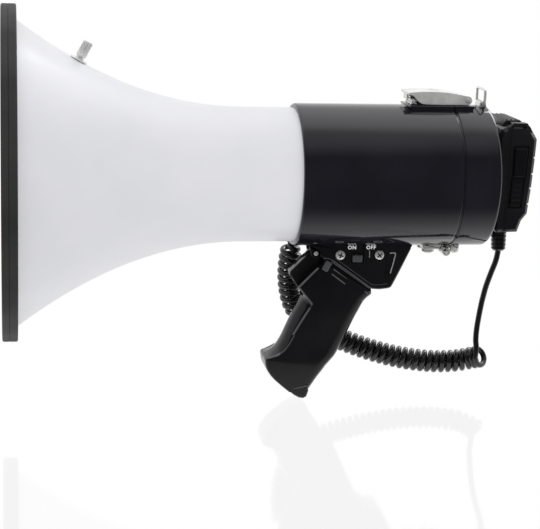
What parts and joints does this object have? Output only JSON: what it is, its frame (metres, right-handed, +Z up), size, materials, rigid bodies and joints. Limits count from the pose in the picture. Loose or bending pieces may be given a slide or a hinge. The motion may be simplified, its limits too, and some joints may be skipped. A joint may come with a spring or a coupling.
{
  "type": "handheld megaphone",
  "caption": "Handheld megaphone: white reflex horn, black battery housing with hinged latched rear cap, raked pistol grip with trigger, and a fist microphone on a curly cord.",
  "frame": {"origin": "middle of the pistol grip, where a hand closes round it, on the plane of symmetry of the horn", "axes": "+X from the mouth towards the rear cap and microphone, parallel to the horn axis; +Z up, towards the horn"},
  "size_m": [0.3712, 0.23, 0.2774],
  "materials": {
    "horn_white": "smooth, glossy, cool white",
    "housing_black": "glossy black",
    "grip_black": "glossy black, slightly softer than the housing",
    "bumper_rubber": "matte charcoal",
    "nickel": "bright nickel plate",
    "steel": "brushed stainless",
    "grey_plastic": "satin grey",
    "cord_black": "satin black jacket",
    "board_green": "solder mask",
    "magnet_dark": "sintered ferrite",
    "cell_wrap": "printed sleeve with no lettering",
    "aluminium": "cast and brushed",
    "film": "formed film"
  },
  "bodies": {
    "root": {"amplifier_board": "board_green", "battery_bulkhead": "housing_black", "battery_holder": "housing_black", "battery_stack_1": "cell_wrap", "battery_stack_2": "cell_wrap", "battery_stack_3": "cell_wrap", "battery_stack_4": "cell_wrap", "bay_contact_plate": "board_green", "bracket_bolt_1": "nickel", "bracket_bolt_2": "nickel", "bumper_ring": "bumper_rubber", "cord_gland": "cord_black", "cord_lead": "cord_black", "curly_cord": "cord_black", "driver_back_cover": "aluminium", "driver_diaphragm": "film", "driver_magnet": "magnet_dark", "driver_throat": "aluminium", "driver_top_plate": "steel", "driver_yoke": "steel", "grip_butt": "grip_black", "grip_shell_far": "grip_black", "grip_shell_near": "grip_black", "handle_bracket": "grip_black", "heat_sink": "aluminium", "hinge_leaf_front": "nickel", "hinge_pin": "steel", "horn_bell": "horn_white", "latch_catch": "nickel", "main_housing": "housing_black", "output_transformer": "steel", "reflector_cone": "horn_white", "reflector_nut": "nickel", "strap_stud": "nickel", "switch_body": "steel", "tone_tube": "horn_white", "trigger_pin": "nickel", "trigger_spring": "steel", "trigger_switch": "housing_black"},
    "rear_cap": {"rear_cap": "housing_black", "cap_contact_plate": "board_green", "hinge_leaf_rear": "nickel", "strap_ring_clip": "nickel", "latch_bracket": "steel", "latch_pin": "nickel", "mic_hanger_clip": "steel"},
    "latch_lever": {"latch_lever": "steel"},
    "strap_ring": {"strap_ring": "nickel"},
    "microphone": {"mic_back_shell": "housing_black", "mic_front_shell": "housing_black", "mic_grille": "housing_black", "mic_capsule": "aluminium", "mic_board": "board_green", "mic_button": "nickel", "mic_strain_relief": "cord_black"},
    "ptt_key": {"ptt_key": "grip_black"},
    "mic_slider": {"mic_slider": "grip_black"},
    "trigger": {"trigger": "grip_black"},
    "trigger_lock": {"trigger_lock": "grey_plastic"},
    "switch_knob": {"switch_knob": "grey_plastic"}
  },
  "joints": [
    {"name": "cap_hinge", "type": "hinge", "parent": "root", "child": "rear_cap", "pos_m": [0.09, 0, 0.0562], "axis": [0, 1, 0], "range_deg": [0, 90], "deforming": ["cord_lead"]},
    {"name": "latch_lever_hinge", "type": "hinge", "parent": "rear_cap", "child": "latch_lever", "pos_m": [0.1, 0, 0.1644], "axis": [0, 1, 0], "range_deg": [0, 82]},
    {"name": "strap_ring_hinge", "type": "hinge", "parent": "rear_cap", "child": "strap_ring", "pos_m": [0.1126, 0, 0.1614], "axis": [0, 1, 0], "range_deg": [-25, 30]},
    {"name": "mic_lift", "type": "slide", "parent": "rear_cap", "child": "microphone", "axis": [0, 0, 1], "range_m": [0, 0.025], "deforming": ["cord_lead"]},
    {"name": "ptt_key_press", "type": "slide", "parent": "microphone", "child": "ptt_key", "axis": [0, 1, 0], "range_m": [0, 0.0015], "stiffness_N_per_m": 800},
    {"name": "mic_slider_travel", "type": "slide", "parent": "microphone", "child": "mic_slider", "axis": [-1, 0, 0], "range_m": [0, 0.004]},
    {"name": "trigger_pull", "type": "hinge", "parent": "root", "child": "trigger", "pos_m": [-0.004, 0, 0.055], "axis": [0, -1, 0], "range_deg": [0, 9], "stiffness_Nm_per_rad": 0.8, "springref_deg": -2.86, "deforming": ["trigger_spring"]},
    {"name": "trigger_lock_press", "type": "slide", "parent": "root", "child": "trigger_lock", "axis": [0, 1, 0], "range_m": [0, 0.0012]},
    {"name": "switch_slide", "type": "slide", "parent": "root", "child": "switch_knob", "axis": [1, 0, 0], "range_m": [0, 0.008]}
  ],
  "couplings": [
    {"joint": "latch_lever_hinge", "follows": "cap_hinge", "ratio": 0.9}
  ]
}
